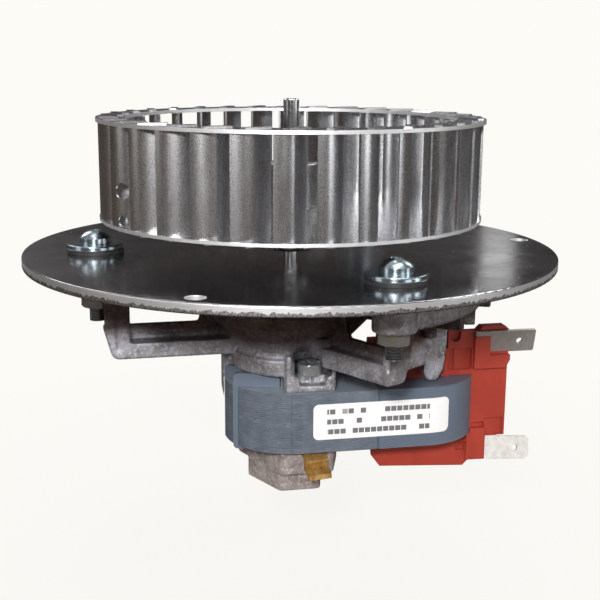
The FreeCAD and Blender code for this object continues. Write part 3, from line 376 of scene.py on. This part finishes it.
def brass():
    g = Graph("yellow_brass")
    tarnish = g.noise(1.8, 4)
    grain = g.noise(0.1, 2, stretch=(1, 8, 1))
    colour = g.ramp(tarnish, (0.3, (0.30, 0.15, 0.04)), (0.6, (0.58, 0.35, 0.11)),
                    (0.8, (0.78, 0.54, 0.22)))
    rough = g.range(tarnish, 0.3, 0.7, 0.46, 0.28)
    return g.finish(Base_Color=colour, Metallic=0.6, Roughness=rough,
                    Normal=g.bump(grain, 0.01, g.bevel(0.15)))


def red_nylon():
    """Glass-filled red plastic: slightly mottled, satin, with a fine grain."""
    g = Graph("red_plastic")
    flow = g.noise(6.0, 3, stretch=(1, 1, 2))
    fibre = g.noise(0.22, 4, rough=0.7)
    colour = g.ramp(flow, (0.3, (0.35, 0.036, 0.021)), (0.7, (0.43, 0.050, 0.029)))
    colour = g.mix(g.range(fibre, 0.55, 0.8, 0.0, 0.3), colour, (0.55, 0.14, 0.09))
    return g.finish(Base_Color=colour, Roughness=g.range(fibre, 0.3, 0.7, 0.36, 0.5),
                    Normal=g.bump(fibre, 0.02, g.bevel(0.25)))


def tinned_brass(name, lit_tone, metallic):
    """Dull tin plating with cloudy patches; the second argument scales its tone, which is painted
    light and shade: one spade gets a lit copy, the other a shaded one.
    """
    g = Graph(name)
    cloud = g.noise(1.5, 4)
    grain = g.noise(0.12, 3, stretch=(6, 1, 1), turn=MOTOR_ANGLE)
    colour = g.ramp(cloud, (0.3, (0.80 * lit_tone, 0.76 * lit_tone, 0.72 * lit_tone)),
                    (0.7, (lit_tone, 0.97 * lit_tone, 0.93 * lit_tone)))
    rough = g.range(cloud, 0.3, 0.7, 0.42, 0.32)
    return g.finish(Base_Color=colour, Metallic=metallic, Roughness=rough,
                    Normal=g.bump(grain, 0.01, g.bevel(0.12)))


def black_rubber():
    g = Graph("black_rubber")
    bloom = g.noise(1.5, 3)
    skin = g.noise(0.15, 3)
    colour = g.ramp(bloom, (0.3, (0.012, 0.012, 0.013)), (0.75, (0.035, 0.034, 0.034)))
    return g.finish(Base_Color=colour, Roughness=0.55, Normal=g.bump(skin, 0.02, g.bevel(0.3)))


def turned_metal(name, tone, rough=0.22):
    """Lathe-turned metal with fine rings across the shaft axis."""
    g = Graph(name)
    rings = g.noise(0.09, 3, stretch=(60, 60, 1))
    cloud = g.noise(2.5, 3)
    colour = g.ramp(cloud, (0.3, tuple(c * 0.85 for c in tone)), (0.7, tone))
    roughness = g.range(rings, 0.3, 0.7, rough - 0.06, rough + 0.08)
    return g.finish(Base_Color=colour, Metallic=1.0, Roughness=roughness,
                    Normal=g.bump(rings, 0.012, g.bevel(0.15)))


def copper_wire():
    """Enamelled wire laid in turns around the coil limb, with painted shade in the grooves between
    the turns.
    """
    g = Graph("copper_wire")
    across = g.along_motor("Y")
    turns = g.math("PINGPONG", g.math("MULTIPLY", across, 3.0), 0.5)
    # Painted shade: dark in the grooves between neighbouring turns.
    colour = g.ramp(turns, (0.05, (0.10, 0.03, 0.01)), (0.5, (0.62, 0.25, 0.10)))
    return g.finish(Base_Color=colour, Metallic=0.9, Roughness=0.28, Normal=g.bump(turns, 0.15))


def coil_tape():
    """Translucent amber polyester tape with overlapping edges and small wrinkles."""
    g = Graph("coil_tape")
    across = g.along_motor("Y")
    lap = g.range(g.math("FRACT", g.math("MULTIPLY", across, 0.14)), 0.0, 0.04)
    wrinkle = g.noise(1.1, 3, stretch=(3, 1, 1), turn=MOTOR_ANGLE)
    colour = g.ramp(wrinkle, (0.3, (0.50, 0.36, 0.13)), (0.7, (0.66, 0.50, 0.22)))
    colour = g.mix(lap, (0.34, 0.23, 0.08), colour)
    return g.finish(Base_Color=colour, Roughness=0.25, Normal=g.bump(wrinkle, 0.05))


def grainy(name, dark, light, size, depth, metallic, rough):
    """Granular or fibrous stock such as sintered bronze, felt or iron."""
    g = Graph(name)
    grain = g.noise(size, 4, rough=0.7)
    colour = g.ramp(grain, (0.35, dark), (0.65, light))
    return g.finish(Base_Color=colour, Metallic=metallic, Roughness=rough,
                    Normal=g.bump(grain, depth))


FINISHES = {
    "mounting_plate": polished_sheet(),
    "impeller_blades": brushed_sheet("blade_strip"),
    "impeller_top_ring": sheared_edge_sheet(),
    "impeller_back_plate": bpy.data.materials["stamped_sheet"],
    "plate_screws": zinc_plate("threaded_zinc", thread=0.7),
    "plate_washers": zinc_plate(),
    "plate_nuts": zinc_plate("yellow_zinc", (0.62, 0.66, 0.70), 0.45, metallic=0.9),
    # Painted light: the clamp screws get a lighter, less metallic copy of the zinc, which
    # brightens the heads sitting in the shade of their recesses.
    "clamp_screws": zinc_plate("lightened_zinc", (0.72, 0.78, 0.80), metallic=0.75),
    "plate_grommets": black_rubber(),
    "spacer_sleeves": bpy.data.materials["zinc_plate"],
    "motor_spider": cast_aluminium("cast_aluminium", 0.75, (0.96, 0.97, 1.03)),
    "lower_bracket": cast_aluminium("bracket_casting", 0.35, (0.86, 0.77, 0.73)),
    "pole_stack": painted_stack(),
    "yoke_stack": bpy.data.materials["painted_laminations"],
    "front_shading_rings": bpy.data.materials["painted_laminations"],
    "rear_shading_rings": bpy.data.materials["painted_laminations"],
    "rating_label": paper_label(),
    "earth_tab": brass(),
    "coil_bobbin": red_nylon(),
    "coil_winding": copper_wire(),
    "coil_tape": coil_tape(),
    # Painted light and shade: the lower spade gets a lighter copy of the tin and the upper spade a
    # darker one, for how the light falls on each.
    "upper_spade": tinned_brass("shaded_tin", 0.78, 0.75),
    "lower_spade": tinned_brass("lit_tin", 0.92, 0.3),
    "rotor_shaft": turned_metal("ground_steel", (0.62, 0.63, 0.63), 0.14),
    "impeller_hub": turned_metal("turned_aluminium", (0.66, 0.65, 0.64), 0.26),
    "hub_grub_screw": turned_metal("black_steel", (0.12, 0.12, 0.13), 0.3),
    "upper_bearing": grainy("sintered_bronze", (0.24, 0.14, 0.06), (0.55, 0.36, 0.18),
                            0.15, 0.02, 1.0, 0.4),
    "lower_bearing": bpy.data.materials["sintered_bronze"],
    "upper_bearing_retainer": turned_metal("spring_steel", (0.45, 0.45, 0.46), 0.25),
    "lower_bearing_retainer": bpy.data.materials["spring_steel"],
    "upper_bearing_felt": grainy("oiled_felt", (0.13, 0.10, 0.05), (0.34, 0.28, 0.18),
                                 0.25, 0.15, 0.0, 0.9),
    "lower_bearing_felt": bpy.data.materials["oiled_felt"],
    "rotor_core": grainy("rotor_iron", (0.16, 0.15, 0.15), (0.34, 0.33, 0.33),
                         0.3, 0.02, 1.0, 0.45),
    "rotor_cage": grainy("cast_cage", (0.45, 0.45, 0.46), (0.68, 0.68, 0.69),
                         0.4, 0.03, 1.0, 0.4),
    "rotor_spacers": grainy("white_nylon", (0.66, 0.64, 0.58), (0.80, 0.78, 0.72),
                            0.6, 0.01, 0.0, 0.45),
}

for name, node in nodes.items():
    node.data.materials.clear()
    node.data.materials.append(FINISHES[name])


# Shapes the CAD leaves plain

def soften_casting(node, voxel=0.36, passes=4):
    """Rounds every edge of a die casting by a few tenths of a millimetre."""
    skin = node.modifiers.new("skin", "REMESH")
    skin.mode = "VOXEL"
    skin.voxel_size = voxel * MM
    skin.use_smooth_shade = True
    soft = node.modifiers.new("soft", "SMOOTH")
    soft.factor = 0.5
    soft.iterations = passes


def laminate(node, depth=0.07, half_width=0.09):
    """New stack in place of a CAD one, with a small groove at every lamination joint."""
    mesh = bpy.data.meshes.new(node.name + "_laminated")
    form = bmesh.new()
    form.from_mesh(node.data)
    bmesh.ops.remove_doubles(form, verts=form.verts, dist=1e-6)
    count = round((STACK_Z[1] - STACK_Z[0]) / LAMINATION)
    joints = [(STACK_Z[0] + index * LAMINATION) * MM for index in range(1, count)]
    for joint in joints:
        for height in (joint - half_width * MM, joint, joint + half_width * MM):
            geometry = form.verts[:] + form.edges[:] + form.faces[:]
            bmesh.ops.bisect_plane(form, geom=geometry, dist=1e-7,
                                   plane_co=(0, 0, height), plane_no=(0, 0, 1))
    form.normal_update()
    moves = []
    for vertex in form.verts:
        nearest = min(abs(vertex.co.z - joint) for joint in joints)
        if nearest < 2e-6 and abs(vertex.normal.z) < 0.3:
            moves.append((vertex, vertex.normal.copy()))
    for vertex, normal in moves:
        vertex.co -= normal * depth * MM
    form.to_mesh(mesh)
    form.free()
    mesh.materials.append(FINISHES[node.name])
    stack = bpy.data.objects.new(node.name + "_laminated", mesh)
    bpy.context.scene.collection.objects.link(stack)
    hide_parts(node.name)
    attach(stack, "frame")


for name in ("motor_spider", "lower_bracket"):
    soften_casting(nodes[name])
for name in ("pole_stack", "yoke_stack"):
    laminate(nodes[name])


# Light, floor and camera

def soft_box(name, place, aim, size, power, colour=WHITE):
    light = bpy.data.lights.new(name, "AREA")
    light.shape = "RECTANGLE"
    light.size, light.size_y = size
    light.energy = power
    light.color = colour
    lamp = bpy.data.objects.new(name, light)
    bpy.context.scene.collection.objects.link(lamp)
    lamp.location = place
    lamp.rotation_euler = (Vector(aim) - Vector(place)).to_track_quat("-Z", "Y").to_euler()
    lamp.visible_camera = False


class Shaders:
    """The shader nodes of the world or the floor."""

    def __init__(self, owner, output):
        owner.use_nodes = True
        self.tree = owner.node_tree
        self.tree.nodes.clear()
        self.output = self.add(output)
        self.path = self.add("ShaderNodeLightPath")

    def add(self, kind, **inputs):
        """A new node; plain values go to the inputs of that name, with _ for a space."""
        node = self.tree.nodes.new(kind)
        for name, value in inputs.items():
            if isinstance(value, tuple):
                value = value + (1.0,)
            node.inputs[name.replace("_", " ")].default_value = value
        return node

    def link(self, source, node, socket):
        self.tree.links.new(source, node.inputs[socket])

    def either(self, factor, first, second):
        """The first shader where the factor is 0, and the second where it is 1."""
        node = self.add("ShaderNodeMixShader")
        for index, source in enumerate((factor, first.outputs[0], second.outputs[0])):
            self.link(source, node, index)
        return node

    def finish(self, to_eye, to_metal, to_rest):
        """One shader each for camera rays, for reflections and for every other ray."""
        others = self.either(self.path.outputs["Is Glossy Ray"], to_rest, to_metal)
        whole = self.either(self.path.outputs["Is Camera Ray"], others, to_eye)
        self.link(whole.outputs[0], self.output, "Surface")


def room():
    """World: pale to the camera, an even fill to rough surfaces, and a dim room to shiny ones."""
    world = bpy.data.worlds.new("room")
    bpy.context.scene.world = world
    shaders = Shaders(world, "ShaderNodeOutputWorld")
    seen = shaders.add("ShaderNodeBackground", Color=PALE)
    fill = shaders.add("ShaderNodeBackground", Color=(0.94, 0.97, 1.0), Strength=0.17)
    mirrored = shaders.add("ShaderNodeBackground")
    where = shaders.add("ShaderNodeTexCoord").outputs["Generated"]

    split = shaders.add("ShaderNodeSeparateXYZ")
    shaders.link(where, split, 0)
    height = shaders.add("ShaderNodeMapRange", From_Min=-1.0)
    shaders.link(split.outputs["Z"], height, "Value")
    shade = shaders.add("ShaderNodeValToRGB")
    stops = ((0.30, (0.06, 0.045, 0.033)), (0.49, (0.06, 0.046, 0.036)),
             (0.53, (0.06, 0.054, 0.052)), (0.66, (0.085, 0.082, 0.082)),
             (0.80, (0.16, 0.16, 0.17)), (1.0, (0.40, 0.41, 0.43)))
    elements = shade.color_ramp.elements
    while len(elements) < len(stops):
        elements.new(0.5)
    for element, (position, colour) in zip(elements, stops):
        element.position = position
        element.color = colour + (1.0,)
    shaders.link(height.outputs[0], shade, "Fac")
    shaders.link(shade.outputs["Color"], mirrored, "Color")

    blobs = shaders.add("ShaderNodeTexNoise", Scale=2.6, Detail=1.0)
    shaders.link(where, blobs, "Vector")
    patch = shaders.add("ShaderNodeMapRange", From_Min=0.45, From_Max=0.65, To_Min=0.7, To_Max=1.9)
    shaders.link(blobs.outputs["Fac"], patch, "Value")
    shaders.link(patch.outputs[0], mirrored, "Strength")

    shaders.finish(seen, mirrored, fill)


def floor(height):
    """Wide pale floor, which keeps its tone to the camera and glows dim brown in metal, a painted
    reflection of a bench.
    """
    side = 6.0
    mesh = bpy.data.meshes.new("floor")
    corners = [(-side, -side, height), (side, -side, height),
               (side, side, height), (-side, side, height)]
    mesh.from_pydata(corners, [], [(0, 1, 2, 3)])
    ground = bpy.data.objects.new("floor", mesh)
    bpy.context.scene.collection.objects.link(ground)
    material = bpy.data.materials.new("floor")
    shaders = Shaders(material, "ShaderNodeOutputMaterial")
    matt = shaders.add("ShaderNodeBsdfDiffuse", Color=(0.85, 0.83, 0.80))
    bounce = shaders.add("ShaderNodeBsdfDiffuse", Color=(0.46, 0.40, 0.36))
    glow = shaders.add("ShaderNodeEmission", Color=PALE)
    # Painted reflection: to reflections only, the floor glows dim brown as if a bench stood there.
    bench_reflection_glow = shaders.add("ShaderNodeEmission", Color=(0.082, 0.065, 0.054))

    distance = shaders.add("ShaderNodeVectorMath")
    distance.operation = "LENGTH"
    shaders.link(shaders.add("ShaderNodeTexCoord").outputs["Object"], distance, 0)
    fade = shaders.add("ShaderNodeMapRange", From_Min=0.08, From_Max=0.25, To_Min=0.88)
    shaders.link(distance.outputs["Value"], fade, "Value")

    shaders.finish(shaders.either(fade.outputs[0], matt, glow), bench_reflection_glow, bounce)
    ground.data.materials.append(material)


def camera():
    yaw, pitch, roll = radians(0.52), radians(12.82), radians(0.43)
    eye_y, eye_z = -0.28307, 0.05031
    forward = Vector((sin(yaw) * cos(pitch), cos(yaw) * cos(pitch), -sin(pitch)))
    level = Vector((cos(yaw), -sin(yaw), 0))
    upright = level.cross(forward)
    right = level * cos(roll) + upright * sin(roll)
    up = upright * cos(roll) - level * sin(roll)
    data = bpy.data.cameras.new("camera")
    data.lens = 66.35
    data.clip_start = 0.01
    eye = bpy.data.objects.new("camera", data)
    bpy.context.scene.collection.objects.link(eye)
    eye.matrix_world = Matrix((
        (right.x, up.x, -forward.x, 0.0),
        (right.y, up.y, -forward.y, eye_y),
        (right.z, up.z, -forward.z, eye_z),
        (0.0, 0.0, 0.0, 1.0),
    ))
    bpy.context.scene.camera = eye


def lights():
    aim = (0, 0, -0.02)
    soft_box("key", (-0.05, -0.42, 0.165), aim, (0.06, 0.06), 1.9)
    soft_box("left", (-0.60, -0.30, 0.20), aim, (0.25, 0.40), 0.4, (1.0, 0.98, 0.95))
    soft_box("right", (0.65, -0.20, 0.15), aim, (0.20, 0.40), 0.8, (0.95, 0.98, 1.0))
    soft_box("front_right", (0.50, -0.63, 0.15), (0.06, 0, -0.055), (0.30, 0.20), 0.42)
    soft_box("top", (0.05, 0.05, 0.75), aim, (0.5, 0.5), 1.6)
    soft_box("back_left", (-0.45, 0.50, 0.50), aim, (0.30, 0.30), 0.9)
    soft_box("back_right", (0.45, 0.50, 0.50), aim, (0.30, 0.30), 0.9)
    soft_box("far_strip", (0.33, 1.45, 0.285), (0.045, -0.02, 0), (0.05, 0.11), 0.016)


bpy.context.scene.view_settings.view_transform = "Standard"
room()
floor(cad_box[0].z - FLOOR_GAP)
lights()
camera()
